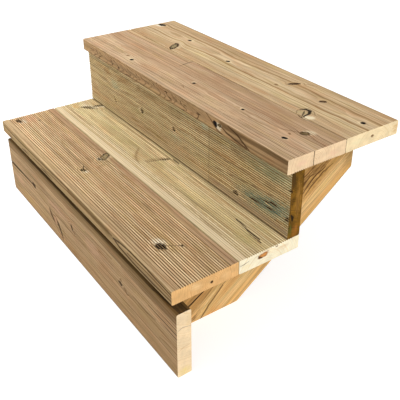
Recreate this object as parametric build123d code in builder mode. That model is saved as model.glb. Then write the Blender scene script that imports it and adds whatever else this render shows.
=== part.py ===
from build123d import *
import os

# Two-step deck stairs in pressure-treated pine: two sawtooth stringers, two treads of two boards, two risers.
# Millimetres. +X runs along the steps, +Y towards the deck, +Z up.
# The origin is the centre of the left stringer's plumb cut, the face that is screwed to the deck.

# Decking board, one section for the treads and the upper riser: reeded on one face, smooth on the other
board_width = 142.0
board_thickness = 30.0
board_edge_radius = 3.0
reed_pitch = 5.0
reed_count = 22
groove_mouth = 2.6
groove_floor = 0.8
groove_depth = 1.7
reed_edge_radius = 0.7

# Treads
tread_length = 800.0
tread_board_gap = 1.0
rear_overhang = 13.0

# Risers
upper_nosing = 12.0
lower_nosing = 2.0
lower_riser_width = 148.0
lower_riser_shorter = 5.0
lower_riser_length = tread_length - lower_riser_shorter
lower_riser_left_inset = 16.0
lower_riser_drop = 14.0
split_length = 155.0
split_width = 3.0
split_below_top = 67.0

# Stringers, sawn from planed planks
stringer_thickness = 45.0
stringer_inset = 90.0
stringer_edge_radius = 3.0
plumb_cut_height = 113.0
foot_depth = 185.0

# Places along the steps
left_stringer_x = 0.0
tread_left_x = left_stringer_x - stringer_thickness / 2 - stringer_inset
right_stringer_x = tread_left_x + tread_length - stringer_inset - stringer_thickness / 2
lower_riser_left_x = tread_left_x + lower_riser_left_inset

# Heights, from the plumb cut down to the ground
upper_seat_z = plumb_cut_height / 2
lower_tread_top_z = upper_seat_z - board_width
lower_seat_z = lower_tread_top_z - board_thickness
lower_riser_top_z = lower_seat_z - lower_riser_drop
ground_z = lower_riser_top_z - lower_riser_width

# Depths, from the plumb cut forward
tread_depth = 2 * board_width + tread_board_gap
upper_front_y = rear_overhang - tread_depth
upper_riser_back_y = upper_front_y + upper_nosing + board_thickness
lower_front_y = upper_riser_back_y - tread_depth
lower_riser_back_y = lower_front_y + lower_nosing + board_thickness
foot_back_y = lower_riser_back_y + foot_depth

os.makedirs("parts", exist_ok=True)


# The section of a decking board, with its reeded face up
with BuildSketch() as decking_section:
    Rectangle(board_width, board_thickness)
    fillet(decking_section.vertices(), board_edge_radius)
    with BuildSketch(mode=Mode.PRIVATE) as groove:
        with BuildLine():
            Polyline(
                (-groove_mouth / 2, 0),
                (-groove_floor / 2, -groove_depth),
                (groove_floor / 2, -groove_depth),
                (groove_mouth / 2, 0),
                close=True,
            )
        make_face()
    with Locations((0, board_thickness / 2)):
        with GridLocations(reed_pitch, 0, reed_count, 1):
            add(groove.sketch, mode=Mode.SUBTRACT)
    reeded_half_width = (reed_count - 1) * reed_pitch / 2 + groove_mouth
    mouths = (
        decking_section.vertices()
        .filter_by_position(Axis.Y, board_thickness / 2 - 0.01, board_thickness / 2 + 0.01)
        .filter_by_position(Axis.X, -reeded_half_width, reeded_half_width)
    )
    fillet(mouths, reed_edge_radius)


def board_plane(left_x, middle_y, middle_z, across):
    """The end of a board at left_x, with the section's width along across and its length along +X."""
    return Plane(origin=(left_x, middle_y, middle_z), x_dir=across, z_dir=(1, 0, 0))


# Treads: two boards side by side, screwed down to the stringers' seats.
# The lower tread shows its reeded face and the upper tread its smooth face.
reeds_up = (0, 1, 0)
reeds_down = (0, -1, 0)
for step, front_y, seat_z, facing in (
    ("lower", lower_front_y, lower_seat_z, reeds_up),
    ("upper", upper_front_y, upper_seat_z, reeds_down),
):
    for place, board_front_y in (("front", front_y), ("back", front_y + board_width + tread_board_gap)):
        middle_y = board_front_y + board_width / 2
        middle_z = seat_z + board_thickness / 2
        with BuildPart() as tread_board:
            with BuildSketch(board_plane(tread_left_x, middle_y, middle_z, facing)):
                add(decking_section.sketch)
            extrude(amount=tread_length)
        tread_board.part.label = f"{step}_tread_{place}"
        export_step(tread_board.part, f"parts/{step}_tread_{place}.step")


# Upper riser: it stands on the back board of the lower tread, reeds to the front
with BuildPart() as upper_riser:
    upper_riser_y = upper_riser_back_y - board_thickness / 2
    upper_riser_z = lower_tread_top_z + board_width / 2
    with BuildSketch(board_plane(tread_left_x, upper_riser_y, upper_riser_z, (0, 0, 1))):
        add(decking_section.sketch)
    extrude(amount=tread_length)
upper_riser.part.label = "upper_riser"
export_step(upper_riser.part, "parts/upper_riser.step")


# Lower riser: a plain planed plank, screwed to the stringers' front ends down to the ground.
# It has dried into a split that runs in from its left end, along the grain and through the thickness.
with BuildPart() as lower_riser:
    lower_riser_y = lower_riser_back_y - board_thickness / 2
    lower_riser_z = lower_riser_top_z - lower_riser_width / 2
    with BuildSketch(board_plane(lower_riser_left_x, lower_riser_y, lower_riser_z, (0, 0, -1))) as plank_section:
        Rectangle(lower_riser_width, board_thickness)
        fillet(plank_section.vertices(), board_edge_radius)
    extrude(amount=lower_riser_length)
    with BuildSketch(Plane.XZ.offset(-lower_riser_back_y)):
        with BuildLine():
            split_z = lower_riser_top_z - split_below_top
            mouth_top = (lower_riser_left_x, split_z + split_width / 2)
            mouth_bottom = (lower_riser_left_x, split_z - split_width / 2)
            middle_x = lower_riser_left_x + split_length / 2
            tip = (lower_riser_left_x + split_length, split_z + split_width)
            ThreePointArc(mouth_top, (middle_x, split_z + split_width / 2), tip)
            ThreePointArc(tip, (middle_x, split_z - split_width / 4), mouth_bottom)
            Line(mouth_bottom, mouth_top)
        make_face()
    extrude(amount=board_thickness, mode=Mode.SUBTRACT)
lower_riser.part.label = "lower_riser"
export_step(lower_riser.part, "parts/lower_riser.step")


# Stringers: a level foot, two seats, two plumb faces for the risers, a plumb cut for the deck,
# and the plank's own straight lower edge, the only one with rounded corners
for side, middle_x in (("left", left_stringer_x), ("right", right_stringer_x)):
    with BuildPart() as stringer:
        with BuildSketch(Plane.YZ.offset(middle_x - stringer_thickness / 2)):
            with BuildLine():
                Polyline(
                    (foot_back_y, ground_z),
                    (lower_riser_back_y, ground_z),
                    (lower_riser_back_y, lower_seat_z),
                    (upper_riser_back_y, lower_seat_z),
                    (upper_riser_back_y, upper_seat_z),
                    (0, upper_seat_z),
                    (0, upper_seat_z - plumb_cut_height),
                    close=True,
                )
            make_face()
        extrude(amount=stringer_thickness)
        lower_edge_face = stringer.faces().filter_by(
            lambda face: face.normal_at().Z < -0.1 and face.normal_at().Y > 0.1
        )
        fillet(lower_edge_face.edges().sort_by(SortBy.LENGTH)[-2:], stringer_edge_radius)
    stringer.part.label = f"stringer_{side}"
    export_step(stringer.part, f"parts/stringer_{side}.step")
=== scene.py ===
import bpy
import bmesh
import math
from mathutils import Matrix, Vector


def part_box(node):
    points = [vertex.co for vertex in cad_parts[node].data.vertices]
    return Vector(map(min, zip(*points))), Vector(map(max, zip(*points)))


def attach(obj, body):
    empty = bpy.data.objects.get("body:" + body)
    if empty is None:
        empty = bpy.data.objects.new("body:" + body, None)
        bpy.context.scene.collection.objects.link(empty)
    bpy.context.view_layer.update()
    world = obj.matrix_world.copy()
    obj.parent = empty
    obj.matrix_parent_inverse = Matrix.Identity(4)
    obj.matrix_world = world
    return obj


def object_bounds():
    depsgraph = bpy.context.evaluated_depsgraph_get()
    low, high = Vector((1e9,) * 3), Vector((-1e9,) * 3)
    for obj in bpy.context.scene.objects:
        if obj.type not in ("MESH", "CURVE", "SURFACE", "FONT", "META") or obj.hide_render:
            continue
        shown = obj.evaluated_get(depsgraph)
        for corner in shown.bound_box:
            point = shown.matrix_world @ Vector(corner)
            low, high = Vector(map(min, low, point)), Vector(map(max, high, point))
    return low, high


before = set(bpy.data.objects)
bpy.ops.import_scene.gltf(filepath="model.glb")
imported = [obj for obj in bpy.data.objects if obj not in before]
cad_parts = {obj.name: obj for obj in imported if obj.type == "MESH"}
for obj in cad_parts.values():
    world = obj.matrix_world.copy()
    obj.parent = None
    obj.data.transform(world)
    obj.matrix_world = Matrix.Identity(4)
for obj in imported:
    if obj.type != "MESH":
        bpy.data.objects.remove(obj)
cad_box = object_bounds()


# Lower tread, front board.
# A decking board of Nordic pine, planed and reeded, pressure treated and left bare, screwed down to the
# stringers' seats. It is cut close to the heart of the log, so its end shows the pith.
def tint(red, green, blue):
    """A colour given as it looks, 0 to 255, turned into the values that light works with."""
    linear = []
    for part in (red, green, blue):
        part = part / 255
        linear.append(part / 12.92 if part <= 0.04045 else ((part + 0.055) / 1.055) ** 2.4)
    return (*linear, 1.0)


def feed(value, socket):
    """Put a number, a colour or another node's output into a socket."""
    if isinstance(value, bpy.types.NodeSocket):
        socket.id_data.links.new(value, socket)
    else:
        socket.default_value = value


def add_node(kind, values, tree=None, **settings):
    """A new node, in the tree that its values come from unless a tree is given. Values: what each of its
    sockets gets, by the socket's name or number. Settings: the node's own properties."""
    if tree is None:
        tree = next(value.id_data for value in values.values() if isinstance(value, bpy.types.NodeSocket))
    node = tree.nodes.new(kind)
    for name, setting in settings.items():
        setattr(node, name, setting)
    for socket, value in values.items():
        feed(value, node.inputs[socket])
    return node.outputs


def calc(operation, *values):
    """One step of arithmetic on numbers."""
    return add_node("ShaderNodeMath", dict(enumerate(values)), operation=operation)[0]


def times(*values):
    """Several numbers multiplied together."""
    result = values[0]
    for value in values[1:]:
        result = calc("MULTIPLY", result, value)
    return result


def times_plus(value, factor, start):
    """A number times a factor, plus a start."""
    return calc("MULTIPLY_ADD", value, factor, start)


def off_middle(noise, amount, start=1.0):
    """A number near start that a noise about 0.5 moves up and down by amount."""
    return times_plus(calc("SUBTRACT", noise, 0.5), amount, start)


def vector_calc(operation, *values):
    """One step of arithmetic on places or colours."""
    outputs = add_node("ShaderNodeVectorMath", dict(enumerate(values)), operation=operation)
    return outputs["Value"] if operation in ("LENGTH", "DOT_PRODUCT", "DISTANCE") else outputs[0]


def scaled(vector, factor):
    """A place or a colour times a number."""
    return add_node("ShaderNodeVectorMath", {0: vector, "Scale": factor}, operation="SCALE")[0]


def ease(value, start, end):
    """0 up to start, 1 from end on, and a smooth step between; start may be the larger of the two."""
    values = {"Value": value, "From Min": start, "From Max": end}
    return add_node("ShaderNodeMapRange", values, interpolation_type="SMOOTHSTEP")["Result"]


def mixed(amount, first, second, way="MIX"):
    """Two colours mixed by an amount from 0 to 1."""
    return add_node("ShaderNodeMix", {0: amount, 6: first, 7: second}, data_type="RGBA", blend_type=way)[2]


def split_up(place):
    """The three parts of a place."""
    return tuple(add_node("ShaderNodeSeparateXYZ", {0: place}))


def joined(*parts):
    """A place from its three parts."""
    return add_node("ShaderNodeCombineXYZ", dict(enumerate(parts)))[0]


def cloud(place, lengths, seed, detail=2.0):
    """Soft noise about 0.5 whose blobs are lengths long, in the units of place."""
    where = vector_calc("ADD", vector_calc("DIVIDE", place, lengths), (seed, seed, seed))
    return add_node("ShaderNodeTexNoise", {"Vector": where, "Scale": 1.0, "Detail": detail})["Fac"]


def lot(number):
    """A random number from 0 to 1 that belongs to a whole number."""
    return add_node("ShaderNodeTexWhiteNoise", {"W": number}, noise_dimensions="1D")["Value"]


def new_group(name, inputs, outputs):
    """An empty node group with named sockets; a plain number as default makes a float, a triple a vector."""
    tree = bpy.data.node_groups.new(name, "ShaderNodeTree")
    for socket_name, default in inputs.items():
        kind = "NodeSocketVector" if isinstance(default, tuple) else "NodeSocketFloat"
        socket = tree.interface.new_socket(socket_name, in_out="INPUT", socket_type=kind)
        socket.default_value = default
    for socket_name, kind in outputs.items():
        tree.interface.new_socket(socket_name, in_out="OUTPUT", socket_type="NodeSocket" + kind)
    return tree, tree.nodes.new("NodeGroupInput").outputs, tree.nodes.new("NodeGroupOutput").inputs


def new_material(name):
    """A new material, its tree and the inputs of its shader."""
    material = bpy.data.materials.new(name)
    material.use_nodes = True
    tree = material.node_tree
    return material, tree, tree.nodes["Principled BSDF"].inputs


def use_group(group, **values):
    """A node group set beside the nodes that feed it, its inputs given by name, with _ for a space."""
    named = {name.replace("_", " "): value for name, value in values.items()}
    return add_node("ShaderNodeGroup", named, node_tree=group)


# Growth rings: cylinders round a pith that wanders along the log. Each year starts pale and ends in a dark,
# sharp line, and no two years are equally wide or equally dark.
rings, given, result = new_group(
    "growth_rings", {"Place": (0, 0, 0), "Ring Width": 3, "Wander": 4, "Seed": 0},
    {"Latewood": "Float", "Slant": "Float"})
along, across, inward = split_up(given["Place"])
from_pith = []
for part, axis_seed in ((across, 0), (inward, 31.7)):
    log_line = joined(along, calc("ADD", given["Seed"], axis_seed), 0)
    slow = cloud(log_line, (240, 1, 1), 3.1, 1)
    quick = cloud(log_line, (48, 1, 1), 9.4)
    drift = calc("ADD", off_middle(slow, 2, 0), off_middle(quick, 0.6, 0))
    from_pith.append(times_plus(drift, given["Wander"], part))
radius = vector_calc("LENGTH", joined(*from_pith, 0))
feed(calc("DIVIDE", calc("ABSOLUTE", from_pith[0]), radius), result["Slant"])
radius = off_middle(cloud(given["Place"], (55, 8, 8), 5.5), 2.2, radius)
uneven = cloud(joined(radius, given["Seed"], 0), (11, 1, 1), 1.3, 1)
years = calc("ADD", calc("DIVIDE", radius, given["Ring Width"]), times(uneven, 2.6))
season = calc("FRACT", years)
late = times(ease(season, 0.2, 0.88), ease(season, 1, 0.92))
year_tone = times_plus(lot(calc("ADD", calc("FLOOR", years), given["Seed"])), 0.75, 0.25)
feed(times(late, year_tone), result["Latewood"])

# A knot: the foot of a branch. Spread is 0 at its heart and 1 at its bark, and the grain is shifted round it.
knot_group, given, result = new_group(
    "knot", {"Place": (0, 0, 0), "Along": 0, "Across": 0, "Length": 10, "Width": 8, "Turn": 0,
             "Seed": 0}, {"Shift": "Vector", "Spread": "Float", "Offset": "Vector"})
along, across, _ = split_up(given["Place"])
off_along = calc("SUBTRACT", along, given["Along"])
off_across = calc("SUBTRACT", across, given["Across"])
cosine = calc("COSINE", given["Turn"])
sine = calc("SINE", given["Turn"])
longways = times_plus(off_along, cosine, times(off_across, sine))
sideways = calc("SUBTRACT", times(off_across, cosine), times(off_along, sine))
offset = joined(calc("DIVIDE", longways, times(given["Length"], 0.5)),
                calc("DIVIDE", sideways, times(given["Width"], 0.5)), 0)
seeded_place = vector_calc("ADD", given["Place"], joined(given["Seed"], given["Seed"], 0))
ragged = cloud(seeded_place, (7, 4, 12), 2.2, 3)
oval = vector_calc("LENGTH", offset)
nearness = calc("EXPONENT", times(oval, oval, -0.3))
feed(joined(0, times(off_across, nearness, -0.85), 0), result["Shift"])
feed(off_middle(ragged, 1.3, oval), result["Spread"])
feed(offset, result["Offset"])

# A line in the wood, such as a drying check or the dark edge of a knot: a little crooked, and as wide at its
# two ends as it is told.
line_group, given, result = new_group(
    "line_in_wood", {"Place": (0, 0, 0), "Start": (0, 0, 0), "End": (1, 0, 0),
                     "Start Width": 1, "End Width": 1, "Crook": 2, "Soft": 0.4, "Seed": 0},
    {"Depth": "Float"})
along, across, _ = split_up(given["Place"])
bend = cloud(joined(along, given["Seed"], 0), (14, 1, 1), 4.4, 3)
bent = off_middle(bend, given["Crook"], across)
span = vector_calc("SUBTRACT", given["End"], given["Start"])
reach = vector_calc("SUBTRACT", joined(along, bent, 0), given["Start"])
share = calc("DIVIDE", vector_calc("DOT_PRODUCT", reach, span), vector_calc("DOT_PRODUCT", span, span))
share = calc("MINIMUM", calc("MAXIMUM", share, 0), 1)
gap = vector_calc("LENGTH", vector_calc("SUBTRACT", reach, scaled(span, share)))
widening = calc("SUBTRACT", given["End Width"], given["Start Width"])
half_width = times(times_plus(widening, share, given["Start Width"]), 0.5)
outer = times(half_width, calc("ADD", 1, given["Soft"]))
inner = times(half_width, calc("SUBTRACT", 1, given["Soft"]))
feed(ease(gap, outer, inner), result["Depth"])

# What a knot can be: its heart, its bark, the strength of the bark's line, the wood beside it, how strongly
# that shows, and how far the grain breaks it up.
knot_kinds = {
    "pin": ((12, 8, 4), (24, 14, 6), 0.7, (240, 216, 172), 0.8, 0),
    "black": ((14, 9, 5), (8, 5, 3), 0.9, (246, 234, 206), 0.9, 0),
    "brown": ((78, 52, 24), (46, 28, 12), 0.8, (214, 180, 132), 0.5, 0.2),
    "eye": ((150, 132, 96), (40, 27, 12), 1, (222, 200, 160), 0.6, 0),
    "pale": ((112, 92, 58), (66, 50, 28), 0.9, (238, 222, 184), 0.8, 0.1),
    "faint": ((142, 108, 70), (112, 82, 50), 0.5, (214, 186, 146), 0.4, 0.3),
    "sawn": ((84, 58, 28), (60, 40, 18), 0.8, (206, 172, 134), 0.4, 0.1),
    "orange": ((214, 148, 82), (150, 92, 42), 0.6, (250, 220, 168), 0.3, 0)}


def find_oval(view, at, over, length, width, turn, seed):
    """How far each place is from an oval's middle."""
    return use_group(knot_group, Place=view, Along=at, Across=over, Length=length, Width=width,
                     Turn=math.radians(turn), Seed=seed)


def find_knots(view, marks, seed):
    """Where each knot lies in a view of the board, before it is drawn."""
    found = []
    for number, (at, over, length, width, turn, kind, *side) in enumerate(marks.get("knots", ())):
        oval = find_oval(view, at, over, length, width, turn, seed + 3.7 * number)
        pale_side = (*side, 0) if side else (0, 0, 0)
        found.append((oval, min(0.4, 3.6 / width), knot_kinds[kind], pale_side))
    return found


def draw_bands(wood, view, seed, marks):
    """Bands of paler or darker wood along a board, which go under its grain."""
    along, across, _ = split_up(view)
    wave = cloud(view, (130, 30, 30), seed + 5.1)
    for start, stop, low, high, soft, colour, amount in marks.get("bands", ()):
        level = off_middle(wave, soft * 2.5, across)
        inside = times(ease(along, start - 3 * soft, start + 3 * soft),
                       ease(along, stop + 3 * soft, stop - 3 * soft),
                       ease(level, low - soft, low + soft), ease(level, high + soft, high - soft), amount)
        wood = mixed(inside, wood, tint(*colour))
    return wood


def draw_marks(wood, view, shown, seed, marks, knots):
    """What the even grain of a board doesn't give: stains, knots with the pale wood beside them, and lines.
    Returns the colour and how deep the wood is opened."""
    streaks = cloud(view, (24, 2.2, 2.2), seed + 7.7)
    grit = cloud(view, (2.4, 1.7, 2), seed + 3.3)
    for number, stain in enumerate(marks.get("stains", ())):
        at, over, length, width, turn, colour, amount, *flecks = stain
        spread = find_oval(view, at, over, length, width, turn, seed + 50 + number)["Spread"]
        patchy = ease(streaks, 0.49 if flecks else 0.25, 0.6)
        wood = mixed(times(ease(spread, 1.3, 0.3), patchy, shown, amount), wood, tint(*colour))
    opened = times(shown, 0)
    for oval, thin, (heart, bark, bark_strength, halo, glow, broken), side in knots:
        spread = oval["Spread"]
        whole = times_plus(ease(streaks, 0.4, 0.5), broken, 1 - broken)
        beside = vector_calc("DISTANCE", oval["Offset"], side)
        pale = times(ease(beside, 2.1, 0.8), ease(streaks, 0.3, 0.6), glow, shown)
        core = times(ease(spread, 1.08, 0.96), whole, shown)
        bark_line = times(ease(spread, 1 - 1.4 * thin, 1 - 0.3 * thin),
                          ease(spread, 1.12 + thin, 1), whole, shown, bark_strength)
        own_rings = times(calc("SINE", times(spread, 15)), 0.12)
        own_tone = calc("ADD", own_rings, off_middle(grit, 0.9))
        wood = mixed(pale, wood, tint(*halo))
        wood = mixed(core, wood, scaled(tint(*heart)[:3], own_tone))
        wood = mixed(bark_line, wood, tint(*bark))
        opened = calc("MAXIMUM", opened, times(bark_line, 0.3))
    line_seed = seed + 70
    for colour, amount, crook, soft, *lines in marks.get("lines", ()):
        for points in lines:
            inside = 0
            for (at, over, width), (to_at, to_over, to_width) in zip(points, points[1:]):
                part = use_group(line_group, Place=view, Start=(at, over, 0), End=(to_at, to_over, 0),
                                 Start_Width=width, End_Width=to_width, Crook=crook, Soft=soft,
                                 Seed=line_seed)
                inside = calc("MAXIMUM", inside, part["Depth"])
            inside = times(inside, shown, amount)
            wood = mixed(inside, wood, tint(*colour))
            opened = calc("MAXIMUM", opened, times(inside, max(0, 0.8 - soft)))
            line_seed += 1
    return wood, opened


def pine(name, axes, seed, pith, colours, size=(800, 142, 30), ring_width=3.4, wander=5, contrast=1,
         fade=0, reeds=None, dirt=(1, 1), plain_margin=16, edge_pith=(40, 15), edge_contrast=1,
         arcs=None, mottle=0.5, face={}, edge={}, end={}):
    """The finish of one board, drawn in the board's own millimetres.
    axes: the corner that the board is measured from, and the directions along, across and inward.
    pith: how far across and inward the centre of the log lies; edge_pith is the same for the long edges.
    colours: pale, other pale and dark wood on the faces, then pale and dark wood on the edges and the ends.
    face, edge and end: the marks on the wide face, the front edge and the right end."""
    face_pale, face_other, face_dark, edge_pale, edge_dark, end_pale, end_dark = (tint(*c) for c in colours)
    material, tree, shader = new_material(name)
    where = add_node("ShaderNodeTexCoord", {}, tree)
    corner, *directions = axes
    from_corner = vector_calc("SUBTRACT", scaled(where["Object"], 1000), tuple(1000 * c for c in corner))
    along, across, inward = (vector_calc("DOT_PRODUCT", from_corner, tuple(d)) for d in directions)
    place = joined(along, across, inward)
    facing = [calc("ABSOLUTE", vector_calc("DOT_PRODUCT", where["Normal"], tuple(d))) for d in directions]
    on_end = ease(facing[0], 0.35, 0.75)
    on_edge = ease(facing[1], 0.6, 0.8)
    on_face = calc("SUBTRACT", 1, on_edge)

    # The grain, led round the knots, and the same rings as the long edges are cut across them
    face_knots = find_knots(place, face, seed)
    grain_place = place
    for oval, *_ in face_knots:
        grain_place = vector_calc("ADD", grain_place, oval["Shift"])
    growth = use_group(rings, Place=vector_calc("SUBTRACT", grain_place, (0, *pith)), Ring_Width=ring_width,
                       Wander=wander, Seed=seed)
    flat_cut = times_plus(ease(growth["Slant"], 0, 0.5), 0.55, 0.45)
    face_late = times(growth["Latewood"], flat_cut, contrast)
    edge_place = joined(times_plus(across, 3, along), edge_pith[0], calc("SUBTRACT", inward, edge_pith[1]))
    edge_growth = use_group(rings, Place=edge_place, Ring_Width=ring_width, Wander=wander * 0.45,
                            Seed=seed + 20)
    edge_late = times(calc("POWER", edge_growth["Latewood"], 1.8), edge_contrast)
    if arcs is not None:
        first, last, spacing, middle, bow = arcs
        off = calc("SUBTRACT", off_middle(cloud(place, (60, 60, 60), seed + 9), 5, inward), middle)
        turn = calc("DIVIDE", times_plus(times(off, off), bow, along), spacing)
        turn = off_middle(cloud(place, (40, 10, 10), seed + 9.5, 3), 3, turn)
        season = calc("FRACT", turn)
        arc = times(ease(season, 0.6, 0.9), ease(season, 1, 0.95), ease(along, first - 20, first + 20),
                    ease(along, last + 20, last - 20), times_plus(lot(calc("FLOOR", turn)), 0.6, 0.4))
        edge_late = calc("MAXIMUM", edge_late, arc)

    # Pale and dark wood, in bands, streaks and fibres
    fibre = cloud(grain_place, (70, 1.1, 1.1), seed + 0.3, 3)
    streak = ease(cloud(grain_place, (190, 2.2, 2.2), seed + 6.2), 0.52, 0.7)
    bands = cloud(grain_place, (380, 9, 9), seed + 1.9, 3)
    dashes = ease(cloud(grain_place, (85, 1.9, 1.9), seed + 3.8), 0.56, 0.7)
    drift = cloud(grain_place, (240, 34, 30), seed + 4.6)
    pores = ease(cloud(grain_place, (7, 0.8, 0.8), seed + 2.7, 1), 0.68, 0.8)
    ground = mixed(ease(drift, 0.3, 0.7), face_pale, face_other)
    wood = mixed(face_late, draw_bands(ground, place, seed, face), face_dark)
    edge_view = joined(along, inward, across)
    edge_wood = mixed(edge_late, draw_bands(edge_pale, edge_view, seed, edge), edge_dark)
    wood = mixed(on_edge, wood, edge_wood)
    tone = off_middle(fibre, 0.9, off_middle(bands, 0.85, 1.03))
    for darker, amount in ((streak, -0.2), (dashes, -0.22), (pores, -0.14)):
        tone = times_plus(darker, amount, tone)
    # Painted light fall-off: the colour is made darker towards the board's right end, by the given share over
    # its length.
    wood = scaled(wood, times_plus(along, -fade / size[0], calc("ADD", tone, fade / 2)))
    hue = cloud(grain_place, (80, 20, 20), seed + 12)
    for level, cast in ((0.7, (255, 232, 218)), (0.3, (244, 246, 218))):
        wood = mixed(times(ease(hue, 0.5, level), 0.4), wood, tint(*cast), "MULTIPLY")

    # The reeds: dirt and preservative lie in the grooves, and the crests get a painted highlight. Where the
    # real board has reeds nearer to its edges than the part has, they are drawn on the plain margin as
    # painted groove shade and dirt.
    if reeds is not None:
        depth = inward if reeds == "shown" else calc("SUBTRACT", size[2], inward)
        margin, first_groove, reed_pitch = 16, 18.5, 5
        far_margin = size[1] - margin
        in_reeds = times(ease(across, margin, margin + 1.5), ease(across, far_margin, far_margin - 1.5),
                         ease(depth, 3.2, 2.4))
        groove = times(in_reeds, ease(depth, 0.5, 1.6))
        if plain_margin < margin:
            turn = calc("FRACT", calc("DIVIDE", calc("SUBTRACT", across, first_groove), reed_pitch))
            off_crest = calc("ABSOLUTE", calc("SUBTRACT", turn, 0.5))
            from_edge = calc("MINIMUM", across, calc("SUBTRACT", size[1], across))
            on_margin = times(ease(from_edge, margin, margin - 1),
                              ease(from_edge, plain_margin - 0.5, plain_margin + 0.5))
            # Painted highlight on the margin, like that on the crests, and painted groove shade with dirt
            # where grooves are drawn.
            wood = scaled(wood, times_plus(on_margin, 0.3, 1))
            painted_groove_shade_and_dirt = times(ease(off_crest, 0.14, 0.36), on_margin, on_face, ease(depth, 0.6, 0.2))
            wood = scaled(wood, times_plus(painted_groove_shade_and_dirt, -0.5, 1))
        # How strong the groove dirt and the painted crest highlight are, along the board.
        dirtier = times_plus(ease(along, size[0] * 0.3, size[0] * 0.8), dirt[1] - dirt[0], dirt[0])
        wood = mixed(times(groove, dirtier, 0.62), wood, tint(152, 138, 108), "MULTIPLY")
        first_crest, last_crest = margin + 2, far_margin - 2
        # Painted highlight: the crests are lightened, more where the grooves hold more dirt.
        painted_crest_highlight = times(ease(across, first_crest, first_crest + 1),
                      ease(across, last_crest, last_crest - 1), ease(depth, 0.4, 0.05), dirtier)
        wood = scaled(wood, times_plus(painted_crest_highlight, 0.36, 1))

    # The marks of this board alone
    wood, face_opened = draw_marks(wood, place, on_face, seed, face, face_knots)
    on_front_edge = times(on_edge, ease(across, 10, 6))
    edge_knots = find_knots(edge_view, edge, seed + 40)
    wood, edge_opened = draw_marks(wood, edge_view, on_front_edge, seed + 40, edge, edge_knots)

    # The sawn ends: paler, with the rings edge on, blotches of resin and the marks of the saw
    end_view = joined(across, inward, along)
    end_wood = mixed(times(growth["Latewood"], contrast, 0.8), end_pale, end_dark)
    saw_line = joined(times_plus(inward, 0.35, across), inward, 0)
    saw = cloud(saw_line, (0.9, 30, 1), seed + 2)
    blotch = cloud(end_view, (20, 12, 30), seed + 8, 3)
    pits = ease(cloud(end_view, (2.6, 2, 30), seed + 8.4), 0.66, 0.76)
    end_tone = off_middle(blotch, mottle, off_middle(saw, 0.25))
    end_wood = scaled(end_wood, times_plus(pits, -0.2, end_tone))
    on_right_half = ease(along, size[0] * 0.5, size[0] * 0.5 + 1)
    end_knots = find_knots(end_view, end, seed + 80)
    end_wood, end_opened = draw_marks(end_wood, end_view, on_right_half, seed + 80, end, end_knots)

    feed(mixed(on_end, wood, end_wood), shader["Base Color"])
    feed(times_plus(on_end, 0.1, times_plus(face_late, -0.12, 0.8)), shader["Roughness"])
    shader["Specular IOR Level"].default_value = 0.12

    # Relief in millimetres: hard latewood stands up, fibres lie along the board, the saw leaves ridges
    side_relief = times_plus(face_late, 0.12, times(fibre, 0.16))
    side_relief = times_plus(calc("MAXIMUM", face_opened, edge_opened), -1.2, side_relief)
    end_relief = times_plus(end_opened, -1, times(saw, 0.3))
    relief = add_node("ShaderNodeMix", {0: on_end, 2: side_relief, 3: end_relief}, data_type="FLOAT")[0]
    bump = add_node("ShaderNodeBump", {"Strength": 1, "Distance": 0.001, "Height": relief})["Normal"]
    feed(bump, shader["Normal"])
    return material


def finish_board(node, axes, name, **look):
    """Give one board its own finish."""
    finish = pine(name, axes(node), **look)
    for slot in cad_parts[node].material_slots:
        slot.material = finish


def tread_axes(node):
    """Along from the left end, across from the front edge, inward from the top."""
    low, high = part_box(node)
    return Vector((low.x, low.y, high.z)), Vector((1, 0, 0)), Vector((0, 1, 0)), Vector((0, 0, -1))


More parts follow.
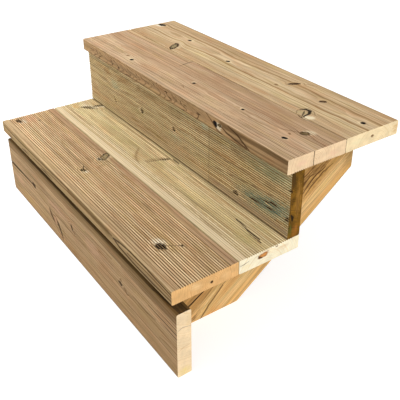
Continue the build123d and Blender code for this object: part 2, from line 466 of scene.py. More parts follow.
# The marks of each board are rows of numbers, in the board's millimetres. Bands: start, stop, low, high,
# softness, colour, amount. Stains: along, across, length, width, turn, colour, amount, and True if flecked.
# Knots: along, across, length, width, turn, kind, and the side of the pale wood, along and across. Lines:
# colour, amount, crook, softness, and then each line as its points, along, across and width.
dark = (36, 23, 10)
brown = (112, 80, 44)
finish_board(
    "lower_tread_front", tread_axes, "pink_reeded_pine", seed=1, pith=(83, 18), ring_width=3.2,
    fade=0.1, reeds="shown",
    colours=((211, 185, 147), (200, 170, 134), (150, 116, 76), (172, 143, 99), (104, 80, 42), (235, 187, 125),
             (212, 156, 98)),
    face=dict(bands=[
        (-20, 900, -5, 17, 3, (204, 175, 134), 0.75), (-20, 900, 126, 150, 3, (182, 148, 115), 0.8),
        # The dark band from 140.6 across is painted shade in the joint with the back board.
        (-20, 900, 140.6, 150, 0.4, (84, 62, 38), 0.7), (300, 900, 60, 104, 8, (176, 142, 100), 0.3),
        (-20, 260, 90, 130, 9, (184, 146, 114), 0.4)
    ], stains=[
        (25, 62, 50, 44, 0, (216, 160, 126), 0.7)
    ], knots=[
        (24, 35, 18, 12, 10, "black", 1, 0.9), (50, 80, 6, 5, 0, "pin"),
        (319, 127, 32, 15, 127, "eye", 0.3, -1), (322, 111, 10, 6, 0, "black"),
        (347, 59, 12, 9, 30, "black", 1.2, -0.9), (682, 53, 20, 14, 20, "black", -1, 1),
        (703, 86, 6, 5, 0, "pin")
    ], lines=[
        (brown, 0.6, 2, 0.7, [(60, 6, 1), (300, 7, 2.4), (560, 5, 2), (800, 7, 2)],
         [(120, 12, 1), (400, 12, 2.2), (660, 11, 2.4), (800, 12, 2)],
         [(20, 134, 1), (240, 133, 2.2), (520, 134, 2.4), (800, 133, 1.6)]),
        (dark, 0.9, 2, 0.4, [(326, 70, 1.4), (346, 60, 4)]),
        (dark, 0.8, 1, 0.4, [(676, 44, 3), (690, 52, 5), (698, 58, 2)]),
        (dark, 0.7, 1, 0.4, [(686, 60, 2.4), (695, 74, 1.4), (703, 86, 3), (712, 90, 1)]),
        (brown, 0.5, 4, 0.9, [(270, 128, 1.5), (306, 140, 3)], [(334, 120, 3), (390, 128, 1.5)])]),
    edge=dict(bands=[
        # The pale band from 27 to 40 inward is a painted highlight along the lower arris of the front edge.
        (390, 580, 3, 15, 2, (126, 96, 54), 0.75), (-20, 900, 27, 40, 0.8, (196, 170, 124), 0.6)
    ], lines=[
        ((88, 62, 30), 0.95, 2, 0.5, [(10, 8, 2.5), (110, 10, 3.5), (200, 8, 3), (300, 6, 3.5), (400, 4, 3)]),
        ((104, 76, 40), 0.85, 2, 0.6, [(200, 18, 2), (330, 14, 3), (440, 11, 3.5), (590, 9, 3)]),
        ((76, 52, 24), 0.95, 1.5, 0.5, [(596, 12, 4), (620, 7, 5), (660, 4, 4), (720, 4, 4), (800, 8, 3)],
         [(596, 12, 4), (618, 18, 5), (670, 22, 4.5), (740, 23, 4), (800, 21, 3)]),
        ((112, 84, 46), 0.85, 2, 0.6, [(650, 13, 3), (730, 12, 4), (800, 14, 3)]),
        ((198, 168, 120), 0.7, 1, 0.7, [(622, 11, 4), (650, 8, 4), (720, 8, 3)]),
        ((84, 58, 28), 0.8, 1, 0.5, [(34, 22, 1.5), (50, 22, 5), (70, 23, 1.5)],
         [(128, 23, 1.5), (150, 21, 5), (172, 23, 1.5)], [(244, 24, 1.5), (270, 22, 5), (306, 24, 1.5)])]),
    end=dict(knots=[
        (83, 18, 5, 5, 0, "brown", -0.8, -0.8)
    ], stains=[
        (50, 12, 30, 16, 20, (250, 214, 160), 0.5), (116, 16, 26, 14, 0, (248, 206, 150), 0.5)]))


# Lower tread, back board.
# The same reeded board from another log, paler and yellower, with a cream margin along its front edge. The
# upper riser stands on its back 30 mm.
finish_board(
    "lower_tread_back", tread_axes, "yellow_reeded_pine", seed=2, pith=(60, 45), ring_width=3.6,
    fade=0.08, reeds="shown", plain_margin=6,
    colours=((204, 186, 148), (190, 172, 131), (148, 120, 76), (204, 182, 136), (166, 134, 86),
             (255, 245, 214), (246, 222, 178)),
    face=dict(bands=[
        # The dark band up to 1.2 across is painted shade in the joint with the front board, and the dark band
        # from 110.5 to 114 is painted shade where the upper riser stands on the board.
        (-20, 900, -5, 36, 7, (222, 203, 170), 0.8), (-20, 900, -5, 1.2, 0.4, (90, 68, 40), 0.55),
        (-20, 900, 110.5, 114, 0.9, (84, 64, 38), 0.75), (-20, 320, 40, 84, 12, (198, 186, 138), 0.5),
        (420, 900, 42, 66, 8, (168, 144, 84), 0.4), (300, 900, 88, 109, 6, (214, 196, 154), 0.6)
    ], stains=[
        (23, 52, 34, 20, 0, (226, 168, 100), 0.8), (16, 84, 40, 26, 0, (222, 200, 172), 0.5),
        (368, 47, 44, 30, 40, (178, 132, 78), 0.55), (752, 52, 70, 34, 0, (164, 156, 92), 0.6),
        (100, 86, 70, 30, 0, (216, 210, 172), 0.5)
    ], knots=[
        (50, 75, 36, 13, 42, "black", 0, 1.4), (55, 104, 28, 11, 74, "black", 0.2, -1.4)
    ], lines=[
        ((228, 206, 166), 0.5, 2, 0.9, [(-20, 12, 26), (400, 12, 30), (820, 14, 32)]),
        ((72, 48, 22), 0.9, 3, 0.4, [(396, 48, 2), (402, 72, 4), (408, 90, 7)]),
        (dark, 1, 1, 0.3, [(404, 80, 4), (409, 90, 9), (412, 98, 9)]),
        ((120, 88, 48), 0.6, 3, 0.8, [(390, 50, 6), (396, 74, 10), (402, 88, 6)]),
        ((128, 92, 48), 0.8, 6, 0.8, [(326, 70, 3), (345, 52, 7), (368, 38, 5), (396, 32, 2)]),
        (dark, 0.95, 3, 0.4, [(418, 107, 2), (434, 105, 5.5), (449, 103, 2)]),
        (dark, 1, 4, 0.3,
         [(690, 77, 1.6), (713, 74, 5), (730, 72, 4), (747, 69, 6), (768, 69, 6.5), (780, 67, 2)]),
        (brown, 0.6, 4, 0.9, [(560, 30, 1), (660, 22, 3), (800, 16, 1.5)])]),
    end=dict(knots=[
        (56, 10, 22, 9, -8, "orange", 0.9, 0.2)
    ], stains=[
        (16, 20, 22, 14, 0, (252, 228, 176), 0.6), (100, 12, 34, 12, 0, (236, 196, 142), 0.45)
    ], lines=[
        ((96, 64, 30), 0.8, 1, 0.4, [(2, 13, 0.6), (12, 12, 1.8), (23, 9, 0.6)]),
        ((74, 42, 16), 0.9, 0.6, 0.5, [(44, 9, 1.5), (46, 13, 3.5), (53, 15, 2.5)]),
        ((120, 76, 36), 0.8, 0.6, 0.5, [(86, 4, 3), (89, 4, 3)])]))


# Upper tread, front board.
# The decking board turned smooth face up, red-brown, its heart split by a drying check that shows on the end.
# Its front edge is cut through a knot, and the rings run out along it in arcs.
finish_board(
    "upper_tread_front", tread_axes, "red_smooth_pine", seed=3, pith=(62, 24), ring_width=3.4,
    wander=6, contrast=1.15, fade=0.1, reeds="back", arcs=(30, 560, 27, 20, 0.2),
    edge_pith=(14, 15), edge_contrast=0.7,
    colours=((206, 176, 142), (194, 162, 129), (148, 112, 76), (176, 143, 102), (78, 54, 28), (247, 217, 176),
             (230, 190, 148)),
    face=dict(bands=[
        (-5, 305, 128, 145, 0.7, (214, 184, 140), 0.7), (-5, 303, 126.4, 128.6, 0.5, (112, 80, 48), 0.7),
        (-5, 305, 140.2, 143, 0.5, (122, 90, 54), 0.5), (-20, 560, 22, 56, 9, (220, 190, 150), 0.4),
        (300, 900, 84, 112, 9, (178, 140, 104), 0.3), (380, 900, 2, 16, 4, (214, 180, 142), 0.4),
        (440, 900, 118, 136, 5, (172, 138, 100), 0.35), (-20, 300, 78, 108, 8, (180, 140, 104), 0.4),
        (120, 500, 56, 76, 7, (186, 148, 112), 0.4)
    ], stains=[
        (716, 66, 90, 36, 0, (202, 160, 122), 0.6), (200, 30, 90, 34, 0, (230, 202, 164), 0.6),
        (420, 110, 160, 34, 0, (172, 134, 98), 0.5), (560, 36, 160, 30, 0, (222, 190, 150), 0.5),
        (640, 118, 120, 26, 0, (174, 136, 98), 0.5)
    ], knots=[
        (210, 27, 10, 8, 0, "pin", -1, 0.9), (419, 65, 8, 7, 0, "pin", -0.9, 0.8),
        (180, 34, 9, 6, 30, "faint", 0.9, 0.5), (589, 67, 7, 6, 0, "pin", -1.2, 0.6),
        (732, 52, 10, 8, 20, "pin"), (740, 95, 17, 12, 30, "pale", 0.7, 0.9), (724, 71, 6, 5, 0, "faint")
    ], lines=[
        (dark, 0.75, 2, 0.4, [(304, 143, 1.6), (308, 118, 2.6), (312, 96, 1)]),
        (brown, 0.6, 1.5, 0.7, [(410, 34, 1), (417, 36, 4), (428, 33, 1)]),
        (brown, 0.55, 3, 0.9, [(600, 66, 1), (700, 72, 3), (735, 92, 3)],
         [(744, 98, 3), (770, 92, 3), (800, 90, 1.5)]),
        (dark, 0.55, 2, 0.7, [(330, 136, 1), (420, 139, 1.4), (520, 138, 1)]),
        ((84, 58, 30), 0.8, 1, 0.5, [(667, 142, 2), (682, 136, 2.4), (697, 136, 2.4), (708, 142, 2)]),
        ((236, 220, 182), 0.8, 1, 0.8, [(688, 142, 8), (700, 142, 7)]),
        ((36, 24, 10), 0.9, 1, 0.5, [(680, 144, 5), (684, 139, 4)])]),
    edge=dict(bands=[
        (600, 900, 2, 12, 2, (96, 70, 38), 0.7), (650, 900, 18, 22, 1.2, (104, 76, 42), 0.4),
        (640, 900, 24, 40, 2, (150, 118, 76), 0.5)
    ], knots=[
        (587, 14, 13, 9, 20, "black", 1.6, -0.3), (601, 13, 10, 6, 0, "pale")
    ], lines=[
        ((74, 50, 24), 0.9, 2, 0.5, [(606, 12, 2), (624, 19, 4), (651, 23, 4.5), (686, 27, 3)],
         [(628, 3, 2), (657, 10, 4), (676, 19, 4.5), (694, 27, 3)]),
        ((86, 60, 30), 0.8, 2, 0.6, [(556, 2, 2), (574, 12, 3), (592, 24, 3.5), (616, 29, 2)])]),
    end=dict(stains=[
        (34, 16, 28, 14, 0, (244, 200, 168), 0.6), (112, 18, 30, 14, 0, (242, 198, 164), 0.6)
    ], lines=[
        ((80, 52, 28), 0.8, 1.5, 0.4, [(62, -1, 2.6), (61.5, 16, 1.6), (62, 31, 2.2)])]))


# Upper tread, back board.
# Smooth like its neighbour but more golden, with one large knot that its front edge cuts close to.
finish_board(
    "upper_tread_back", tread_axes, "gold_smooth_pine", seed=4, pith=(76, 40), ring_width=3.6,
    wander=6, contrast=1.1, fade=0.06, reeds="back",
    colours=((214, 188, 150), (199, 168, 130), (156, 122, 78), (182, 152, 108), (128, 96, 56),
             (252, 229, 185), (240, 210, 158)),
    face=dict(bands=[
        (200, 900, 28, 56, 9, (218, 196, 150), 0.45), (-20, 560, 2, 22, 6, (188, 152, 110), 0.4),
        (-20, 900, 124, 150, 6, (190, 156, 108), 0.4), (300, 900, 92, 112, 7, (188, 152, 108), 0.3),
        # The last band is painted shade in the joint with the front board.
        (-20, 900, -5, 0.8, 0.4, (110, 82, 50), 0.5)
    ], stains=[
        (560, 100, 110, 30, 20, (188, 146, 98), 0.5), (180, 20, 60, 28, 0, (196, 160, 116), 0.5)
    ], knots=[
        (17, 91, 20, 13, 20, "black", -0.4, -1.2), (172, 78, 11, 8, 0, "pin", 0.9, 0.8),
        (187, 20, 38, 15, 127, "eye", 0.2, -1.1), (352, 66, 10, 7, 20, "pin", 0.9, -0.9),
        (528, 65, 9, 6, 0, "faint", -0.9, 0.5), (547, 100, 24, 9, 62, "brown", 0, 1.3),
        (653, 83, 13, 9, 42, "brown", -0.6, 1.3), (771, 74, 9, 8, 0, "pin", -0.9, -0.9)
    ], lines=[
        ((66, 42, 20), 0.85, 1, 0.4, [(168, 36, 2), (178, 38, 5), (191, 29, 4), (202, 11, 2)]),
        ((150, 112, 66), 0.7, 3, 0.8, [(558, 116, 1), (572, 124, 3), (588, 130, 1)]),
        ((96, 66, 36), 0.6, 1, 0.5,
         [(664, -1, 2), (655, 10, 2.4), (654, 26, 2.4), (662, 35, 2.4), (678, 34, 2), (692, 24, 1.6)]),
        ((186, 166, 120), 0.8, 1, 0.8, [(662, 10, 9), (674, 14, 10)]),
        ((238, 222, 186), 0.95, 1, 0.6, [(688, 0, 13), (697, 9, 13)]),
        ((28, 20, 10), 0.95, 0.6, 0.4,
         [(657, 17, 2.4), (661, 28, 5.5), (672, 29, 7.5), (681, 18, 6), (682, 7, 4), (684, -2, 4.5)]),
        ((50, 38, 20), 0.8, 0.6, 0.5, [(665, 20, 2), (672, 12, 4), (679, 1, 2.4)]),
        (brown, 0.5, 3, 0.9, [(560, 16, 1), (620, 20, 2.6), (652, 22, 2.4)],
         [(692, 30, 2.4), (740, 24, 2.6), (798, 24, 1)])]),
    end=dict(knots=[
        (70, 14, 7, 5, 20, "faint", 0.8, 0.2)
    ], stains=[
        (136, 16, 20, 24, 0, (216, 176, 116), 0.7), (30, 14, 40, 16, 0, (250, 236, 190), 0.5)]))


# Upper riser.
# The reeded board again, on edge between the treads and screwed to the stringers, reeds to the front. It took
# the preservative unevenly, and its lower right corner is blue-green.
def riser_axes(node):
    """Along from the left end, across from the top edge, inward from the front face."""
    low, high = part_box(node)
    return Vector((low.x, low.y, high.z)), Vector((1, 0, 0)), Vector((0, 0, -1)), Vector((0, 1, 0))


copper = (112, 148, 128)
finish_board(
    "upper_riser", riser_axes, "green_reeded_pine", seed=5, pith=(-30, 60), ring_width=2.8, wander=9,
    contrast=1.25, fade=0.1, reeds="shown", dirt=(0.3, 1.1), plain_margin=0, mottle=2.6,
    colours=((217, 195, 150), (205, 188, 143), (144, 114, 70), (170, 142, 96), (126, 94, 54), (124, 86, 22),
             (66, 45, 12)),
    face=dict(bands=[
        (548, 900, -5, 150, 1, (188, 172, 128), 0.5), (-20, 560, 104, 130, 8, (202, 164, 124), 0.4),
        # The dark band from 138.5 across is painted shade at the riser's foot, where it stands on the lower
        # tread.
        (560, 900, 120, 145, 6, (192, 162, 132), 0.5), (-20, 900, 138.5, 150, 0.7, (84, 62, 36), 0.7),
        (560, 900, 40, 76, 9, (190, 152, 98), 0.4), (-20, 420, 16, 40, 9, (176, 148, 100), 0.4)
    ], stains=[
        (142, 56, 50, 24, 15, (178, 188, 154), 0.75), (280, 50, 90, 30, 0, (206, 166, 124), 0.4),
        (425, 86, 60, 24, 0, (188, 194, 162), 0.6), (535, 16, 34, 16, 0, (196, 204, 172), 0.8),
        (500, 80, 110, 40, 0, (200, 184, 144), 0.5), (742, 96, 190, 46, -9, copper, 0.95),
        (748, 27, 160, 34, 0, (150, 162, 122), 0.7), (752, 93, 84, 26, -6, (88, 130, 118), 0.6),
        (742, 94, 130, 30, -8, (24, 46, 42), 0.5, True), (796, 96, 24, 44, 0, (56, 46, 22), 0.8, True)
    ], knots=[
        (275, 77, 11, 9, 20, "pin", -1.6, 0.7), (416, 69, 11, 8, 20, "pin", 0.3, 1.2),
        (644, 119, 16, 7, 3, "pin", 0.6, -1.5)
    ], lines=[
        (brown, 0.75, 3, 0.7, [(560, 94, 1), (640, 84, 2.6), (700, 76, 3), (790, 66, 1.5)]),
        (brown, 0.6, 3, 0.7, [(600, 62, 1), (680, 54, 2.6), (760, 50, 1)]),
        (brown, 0.5, 3, 0.7, [(420, 100, 1), (500, 92, 2.4), (560, 88, 1)],
         [(604, 30, 1), (650, 24, 2.4), (700, 22, 1)]),
        ((64, 44, 20), 0.9, 0.8, 0.4, [(133, 90, 2.4), (137, 95, 5), (142, 101, 5)]),
        ((224, 196, 146), 0.7, 0.8, 0.8, [(126, 98, 5), (130, 108, 5)]),
        ((150, 160, 132), 0.7, 3, 0.8, [(116, 64, 2), (142, 64, 3), (166, 50, 2)]),
        ((16, 28, 20), 1, 3, 0.3, [(686, 107, 1), (700, 106, 3.4), (736, 103, 1)]),
        ((10, 20, 16), 1, 3, 0.3, [(716, 94, 1), (740, 91, 3), (752, 86, 5), (782, 88, 1)]),
        ((12, 24, 18), 1, 3, 0.3, [(730, 103, 1), (750, 100, 3.2), (776, 97, 1)]),
        ((24, 18, 9), 1, 1, 0.3, [(790, 104, 2), (796, 99, 8), (799, 94, 3)], [(794, 38, 2), (799, 37, 4)]),
        ((104, 88, 52), 0.5, 0.6, 0.6, [(550, -2, 2), (550, 60, 3), (551, 144, 2)])]),
    end=dict(stains=[
        (14, 6, 44, 18, 0, (74, 52, 18), 0.85), (60, 20, 84, 16, 0, (176, 126, 56), 0.7),
        (96, 6, 34, 14, 0, (58, 46, 18), 0.85, True), (122, 4, 28, 12, 0, (98, 100, 38), 0.8),
        (127, 18, 28, 16, 0, (168, 106, 44), 0.7), (70, 4, 70, 9, 0, (92, 66, 22), 0.7, True)
    ], lines=[
        ((30, 20, 8), 0.95, 1, 0.4, [(90, 6, 3), (97, 9, 6), (102, 9, 3)]),
        ((44, 28, 10), 0.9, 1, 0.4, [(35, 1, 3.5), (40, 3, 3.5)]),
        ((64, 42, 14), 0.4, 3, 0.9, [(54, 16, 2), (74, 20, 4), (90, 17, 2)])]))


# Lower riser.
# A plain planed plank without reeds, screwed to the stringers' front ends and standing on the ground. It has
# split in from its left end, and a branch was sawn through where the grain curls.
finish_board(
    "lower_riser", riser_axes, "brown_smooth_pine", seed=6, pith=(-40, 50), ring_width=4.2, wander=8,
    contrast=1.3, size=(795, 148, 30),
    # Its edge colours are darkened as painted shade, for the top edge that lies in the shade under the lower
    # tread.
    colours=((194, 163, 122), (184, 152, 112), (136, 102, 62), (100, 76, 42), (64, 46, 24), (244, 218, 178),
             (234, 202, 156)),
    face=dict(bands=[
        # The dark bands at the top, to 20 and to 7 across, are painted shade under the lower tread; the dark
        # band from 144.5 across is a painted contact shadow at the foot.
        (-20, 900, -5, 20, 6, (134, 108, 68), 0.75), (-20, 900, 116, 150, 7, (184, 146, 100), 0.4),
        (-20, 900, -5, 7, 2, (106, 84, 48), 0.7), (-20, 900, 144.5, 152, 1, (92, 66, 36), 0.7),
        (220, 900, 48, 60, 5, (206, 172, 132), 0.5)
    ], stains=[
        (50, 96, 70, 26, 0, (200, 154, 122), 0.6), (290, 60, 110, 24, 0, (202, 160, 130), 0.6),
        (272, 100, 24, 26, 0, (182, 138, 104), 0.9), (100, 128, 120, 24, 0, (186, 154, 92), 0.5),
        (470, 62, 90, 40, 0, (198, 156, 124), 0.6), (690, 84, 140, 40, 0, (166, 136, 88), 0.5),
        (360, 134, 90, 22, 0, (150, 116, 72), 0.6), (300, 92, 22, 9, 40, (208, 176, 138), 0.8)
    ], knots=[
        (155, 63, 19, 11, 10, "sawn"), (370, 66, 15, 7, 60, "sawn"), (380, 73, 12, 5, 0, "faint"),
        (592, 70, 14, 7, 10, "sawn"), (594, 60, 8, 6, 0, "faint"), (612, 76, 14, 6, 40, "faint")
    ], lines=[
        ((44, 28, 12), 0.9, 1, 0.5, [(-4, 66, 7), (80, 65, 6), (150, 64, 3.5), (160, 61, 2)]),
        ((88, 62, 32), 0.95, 2, 0.5, [(240, 80, 2), (250, 93, 10), (262, 103, 9), (270, 108, 2)]),
        ((76, 52, 24), 0.95, 2, 0.5,
         [(280, 92, 2), (290, 103, 12), (298, 113, 9), (305, 124, 8), (310, 136, 2)]),
        ((104, 76, 44), 0.8, 2, 0.6, [(246, 82, 2), (262, 90, 3), (276, 88, 3), (286, 96, 2)]),
        ((112, 82, 48), 0.7, 2, 0.7, [(258, 104, 2), (278, 118, 3), (302, 134, 2)]),
        (brown, 0.6, 3, 0.8, [(246, 68, 1.5), (276, 66, 4), (300, 68, 1.5)]),
        ((130, 94, 56), 0.7, 3, 0.8, [(300, 90, 1.5), (318, 104, 3), (328, 122, 1.5)]),
        (brown, 0.6, 4, 0.9, [(160, 58, 2), (240, 52, 3), (340, 56, 1.5)],
         [(330, 84, 1.5), (430, 80, 2.6), (560, 84, 1.2)]),
        (brown, 0.7, 2, 0.6, [(440, 34, 2), (500, 32, 3.6), (560, 31, 2)],
         [(500, 47, 2), (530, 45, 3), (566, 45, 2)]),
        (brown, 0.7, 2, 0.7, [(600, 22, 2), (690, 23, 4.5), (798, 21, 4)]),
        (brown, 0.6, 2, 0.7, [(630, 12, 2), (700, 11, 4), (798, 11, 4)]),
        (dark, 0.6, 2, 0.6, [(700, 47, 1.5), (760, 46, 3.4), (798, 46, 4)],
         [(740, 57, 1.5), (770, 56, 3.4), (798, 56, 4)]),
        (dark, 0.5, 2, 0.6, [(730, 36, 1.5), (764, 35, 3), (798, 34, 3)]),
        (brown, 0.6, 3, 0.7, [(640, 68, 2), (690, 70, 4.5), (724, 64, 2)]),
        (brown, 0.6, 2, 0.7, [(736, 96, 2), (760, 92, 3.5), (798, 92, 3)]),
        (brown, 0.5, 2, 0.7, [(744, 84, 2), (770, 82, 3), (798, 82, 3)])]),
    end=dict(lines=[
        ((176, 150, 124), 0.7, 2, 0.7, [(38, 1, 1), (33, 12, 2), (37, 29, 1)]),
        ((206, 170, 128), 0.6, 3, 0.8, [(86, 2, 1), (80, 14, 1.6), (78, 29, 1)])
    ], stains=[
        (138, 15, 22, 30, 0, (240, 216, 140), 0.7), (20, 24, 34, 14, 0, (240, 206, 150), 0.5)]))


# Stringers.
# Sawtooth planks 45 mm thick that carry the treads and risers, golden, with the grain along the sloping lower
# edge. The right one has dried into a crack that runs up from behind the riser, and a crease beside it.
def stringer_axes(node):
    """Along the sloping lower edge, up from the foot, across down from it, inward from the right side."""
    low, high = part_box(node)
    foot_depth, plumb_cut_height = 0.185, 0.113
    slope = math.atan2(high.z - plumb_cut_height - low.z, high.y - low.y - foot_depth)
    along = Vector((0, math.cos(slope), math.sin(slope)))
    across = Vector((0, math.sin(slope), -math.cos(slope)))
    return Vector((high.x, low.y, low.z)), along, across, Vector((-1, 0, 0))


stringer_colours = ((246, 204, 138), (232, 184, 116), (160, 112, 56), (200, 156, 100), (150, 108, 60),
                    (200, 154, 96), (160, 116, 64))
cracked = dict(bands=[
    (290, 620, -130, 130, 20, (216, 166, 96), 0.6), (-50, 130, -80, 24, 8, (160, 116, 64), 0.5),
    (110, 330, 60, 84, 5, (248, 214, 154), 0.6), (340, 620, 62, 92, 8, (250, 216, 156), 0.5)
], stains=[
    (64, 30, 60, 26, 0, (132, 90, 44), 0.7, True), (170, 20, 120, 40, 0, (176, 134, 76), 0.5),
    (428, 30, 130, 58, 0, (150, 108, 56), 0.75), (536, 84, 60, 50, 0, (166, 124, 66), 0.75),
    (440, 30, 110, 50, 0, (96, 62, 26), 0.7, True)
], lines=[
    ((40, 26, 12), 0.95, 1.5, 0.4, [(64, -1, 3), (84, 1, 4.5), (116, 4, 3), (140, 6, 1.4)]),
    ((84, 56, 26), 0.8, 2, 0.6, [(70, 54, 2.5), (104, 45, 5), (125, 42, 4.5), (152, 38, 2)]),
    ((244, 214, 158), 0.6, 2, 0.8, [(84, 40, 1.5), (110, 34, 3), (150, 28, 1.5)]),
    ((110, 74, 36), 0.7, 3, 0.7, [(96, 22, 1), (150, 16, 3), (210, 14, 1.5)]),
    ((92, 58, 24), 0.85, 4, 0.5, [(398, 34, 1.5), (412, 26, 4.5), (432, 24, 4), (446, 30, 1.5)],
     [(396, 44, 1.5), (420, 37, 4.5), (448, 36, 4.5), (474, 42, 1.5)]),
    ((92, 58, 24), 0.8, 4, 0.6, [(392, 54, 1.5), (424, 48, 3.5), (460, 47, 3.5), (490, 54, 1.5)]),
    ((84, 54, 24), 0.8, 4, 0.5, [(404, 18, 1.5), (420, 12, 4), (438, 13, 1.5)]),
    ((110, 74, 36), 0.6, 4, 0.7, [(360, 74, 1), (420, 66, 2.4), (500, 68, 1)]),
    ((100, 72, 36), 0.8, 1, 0.6, [(346, 108, 1.5), (430, 109, 3), (520, 109, 2)])])
for node, seed, marks in (("stringer_left", 7, {}), ("stringer_right", 8, cracked)):
    finish_board(node, stringer_axes, node + "_pine", seed=seed, pith=(-60, 30), ring_width=3.6,
                 wander=9, contrast=0.75, size=(560, 200, 45), colours=stringer_colours, face=marks)


# Screws.
# Countersunk decking screws of zinc-plated steel, driven at a slant from the stringers' inner faces: up into
# the treads and forward into the risers. Their heads stand a little out of the wood.
head_radius = 0.0046
shank_radius = 0.0022
recess_radius = 0.0019
recess_depth = 0.0020
recess_taper = 0.85
lobe_height = 0.0005
sides = 24
screw_profile = [(head_radius * 0.9, 0.0), (head_radius, -0.0004), (head_radius * 0.97, -0.0010),
                 (shank_radius * 1.1, -0.0042), (shank_radius, -0.0060), (shank_radius, -0.0110)]


def screw_mesh():
    """One screw's head and the top of its shank, axis along Z, with a six-lobed recess in the head."""
    shape = bmesh.new()
    angles = [2 * math.pi * k / sides for k in range(sides)]

    def loop(radii, height):
        return [shape.verts.new((r * math.cos(a), r * math.sin(a), height)) for r, a in zip(radii, angles)]

    star = [recess_radius + lobe_height * math.cos(6 * a) for a in angles]
    loops = [loop([r * recess_taper for r in star], -recess_depth), loop(star, 0.0)]
    for radius, height in screw_profile:
        loops.append(loop([radius] * sides, height))
    for first, second in zip(loops, loops[1:]):
        for k in range(sides):
            shape.faces.new((first[k], first[(k + 1) % sides], second[(k + 1) % sides], second[k]))
    shape.faces.new(loops[0])
    shape.faces.new(loops[-1])
    bmesh.ops.recalc_face_normals(shape, faces=shape.faces)
    mesh = bpy.data.meshes.new("screw_template")
    shape.to_mesh(mesh)
    shape.free()
    for face in mesh.polygons:
        face.use_smooth = len(face.vertices) == 4
    return mesh


def screw_finish():
    """Zinc-plated steel that has weathered: dull, finely brushed, brown where water stands."""
    material, tree, shader = new_material("weathered_screw_steel")
    where = add_node("ShaderNodeTexCoord", {}, tree)
    millimetres = scaled(where["Object"], 1000.0)
    brushed = cloud(millimetres, (0.25, 2.0, 2.0), 11.0, 3.0)
    rusty = ease(cloud(millimetres, (2.5, 2.5, 2.5), 12.0, 3.0), 0.5, 0.68)
    steel = scaled((0.40, 0.39, 0.36), off_middle(brushed, 0.7))
    feed(mixed(times(rusty, 0.6), steel, tint(110, 74, 44)), shader["Base Color"])
    feed(calc("SUBTRACT", 0.9, times(rusty, 0.7)), shader["Metallic"])
    feed(off_middle(brushed, 0.3, times_plus(rusty, 0.3, 0.42)), shader["Roughness"])
    return material


screw_tree = bpy.data.node_groups.new("screws_at_points", "GeometryNodeTree")
screw_inputs = {}
for socket_name, kind in (("Points", "Geometry"), ("Screw", "Object"), ("Size", "Float"), ("Seed", "Int")):
    screw_inputs[socket_name] = screw_tree.interface.new_socket(
        socket_name, in_out="INPUT", socket_type="NodeSocket" + kind).identifier
screw_tree.interface.new_socket("Screws", in_out="OUTPUT", socket_type="NodeSocketGeometry")
given = add_node("NodeGroupInput", {}, screw_tree)
turn = add_node("GeometryNodeInputNamedAttribute", {"Name": "turn"}, screw_tree, data_type="FLOAT_VECTOR")
rotation = add_node("FunctionNodeEulerToRotation", {"Euler": turn["Attribute"]})[0]
one_screw = add_node("GeometryNodeObjectInfo", {"Object": given["Screw"]})["Geometry"]
placed = add_node("GeometryNodeInstanceOnPoints", {
    "Points": given["Points"], "Instance": one_screw, "Rotation": rotation, "Scale": given["Size"]})[0]
turn_range = {0: (0.0, 0.0, 0.0), 1: (0.0, 0.0, 2 * math.pi)}
spin = add_node("FunctionNodeRandomValue", {**turn_range, "Seed": given["Seed"]}, data_type="FLOAT_VECTOR")[0]
spun = add_node("GeometryNodeRotateInstances", {"Instances": placed, "Rotation": spin})[0]
whole = add_node("GeometryNodeRealizeInstances", {0: spun})[0]
finished = add_node("GeometryNodeSetMaterial", {"Geometry": whole, "Material": screw_finish()})[0]
feed(finished, screw_tree.nodes.new("NodeGroupOutput").inputs[0])


def new_object(name, data):
    """A new object in the scene."""
    made = bpy.data.objects.new(name, data)
    bpy.context.collection.objects.link(made)
    return made


template = new_object("screw_template", screw_mesh())
below_seat = 0.030
behind_riser = 0.028
stands_out = 0.0026
slant_in, slant_along = 0.77, 0.64
seat_places = {"lower_tread_front": (0.42, 0.80), "lower_tread_back": (0.20, 0.70),
               "upper_tread_front": (0.42, 0.80), "upper_tread_back": (0.20, 0.72)}
riser_places = {"upper_riser": (0.20, 0.60), "lower_riser": (0.12, 0.42, 0.70)}
places = []
for side, outward in (("left", -1), ("right", 1)):
    low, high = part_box("stringer_" + side)
    inner_x = high.x if outward < 0 else low.x
    for node, shares in seat_places.items():
        low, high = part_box(node)
        for share in shares:
            spot = Vector((inner_x, low.y + share * (high.y - low.y), low.z - below_seat))
            places.append((spot, Vector((outward * slant_in, 0.0, slant_along))))
    for node, shares in riser_places.items():
        low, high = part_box(node)
        for share in shares:
            spot = Vector((inner_x, high.y + behind_riser, low.z + share * (high.z - low.z)))
            places.append((spot, Vector((outward * slant_in, -slant_along, 0.0))))
points = bpy.data.meshes.new("screw_points")
points.from_pydata([spot - stands_out * into for spot, into in places], [], [])
turns = points.attributes.new("turn", "FLOAT_VECTOR", "POINT")
for number, (spot, into) in enumerate(places):
    turns.data[number].vector = (-into).to_track_quat("Z", "Y").to_euler()
holder = new_object("screw_points", points)
maker = holder.modifiers.new("screws", "NODES")
maker.node_group = screw_tree
maker[screw_inputs["Screw"]] = template
maker[screw_inputs["Size"]] = 1.0
maker[screw_inputs["Seed"]] = 5
screw_result = bpy.data.meshes.new_from_object(holder.evaluated_get(bpy.context.evaluated_depsgraph_get()))
holder.modifiers.remove(maker)
bpy.data.objects.remove(holder)
screws = new_object("screws", screw_result)
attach(screws, "root")
bpy.data.objects.remove(template)


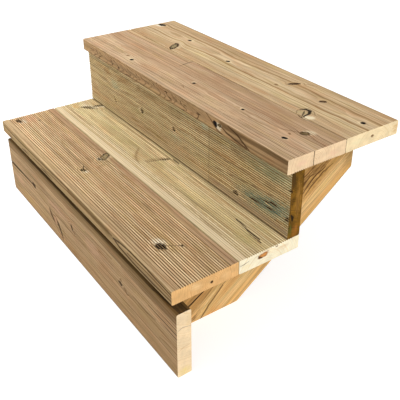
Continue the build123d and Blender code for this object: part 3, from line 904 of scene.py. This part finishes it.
# Floor.
# A sheet of white paper, far wider than the steps. It gives off some light of its own towards the camera, so
# that only the shadows at the feet show on it.
low, high = (Vector(c) for c in cad_box)
middle = (low + high) / 2
half_floor = 12.0
corners = [(x * half_floor, y * half_floor, low.z) for x, y in ((-1, -1), (1, -1), (1, 1), (-1, 1))]
floor_mesh = bpy.data.meshes.new("floor")
floor_mesh.from_pydata(corners, [], [(0, 1, 2, 3)])
floor = new_object("floor", floor_mesh)
paper, tree, shader = new_material("floor_paper")
shader["Base Color"].default_value = (0.8, 0.8, 0.8, 1)
shader["Roughness"].default_value = 0.9
shader["Specular IOR Level"].default_value = 0.0
shader["Emission Color"].default_value = (1, 1, 1, 1)
path = add_node("ShaderNodeLightPath", {}, tree)
seen = calc("MAXIMUM", path["Is Camera Ray"], path["Is Glossy Ray"])
feed(times(seen, 0.45), shader["Emission Strength"])
floor_mesh.materials.append(paper)


# Light.
# Even white light from all round, a large soft window high on the right, and one soft box at the front left.
# The walls look brighter to the camera than the light that they give to the steps.
world = bpy.data.worlds.new("studio")
bpy.context.scene.world = world
world.use_nodes = True
sky = world.node_tree.nodes["Background"].inputs
sky["Color"].default_value = (1, 1, 1, 1)
path = add_node("ShaderNodeLightPath", {}, world.node_tree)
seen = calc("MAXIMUM", path["Is Camera Ray"], path["Is Transmission Ray"])
feed(times_plus(seen, 0.55, 0.45), sky["Strength"])

window = bpy.data.lights.new("window", "SUN")
window.energy = 1.8
window.angle = math.radians(25)
window_object = new_object("window", window)
window_object.rotation_euler = (-Vector((0.72, -0.12, 0.68))).to_track_quat("-Z", "Y").to_euler()

fill = bpy.data.lights.new("fill", "AREA")
fill.shape = "DISK"
fill.size = 1.2
fill.energy = 22
fill_object = new_object("fill", fill)
from_middle = Vector((-1.5, -0.9, 1.2))
fill_object.location = middle + from_middle
fill_object.rotation_euler = (-from_middle).to_track_quat("-Z", "Y").to_euler()


# Camera.
# Held to the right of the steps and above them, with its lens raised a little. It looks at a point that is
# close to their middle.
azimuth, elevation = math.radians(55.08), math.radians(29.06)
aim = middle + Vector((0.0336, 0.0459, -0.0023))
distance = 1.4717
forward = Vector((-math.sin(azimuth) * math.cos(elevation), math.cos(azimuth) * math.cos(elevation),
                  -math.sin(elevation)))
camera = bpy.data.cameras.new("camera")
camera.lens = 57.205
camera.sensor_width = 36
camera.shift_y = -0.1
camera.clip_start = 0.05
camera_object = new_object("camera", camera)
camera_object.location = aim - forward * distance
camera_object.rotation_euler = forward.to_track_quat("-Z", "Y").to_euler()
bpy.context.scene.camera = camera_object
bpy.context.scene.view_settings.view_transform = "Standard"
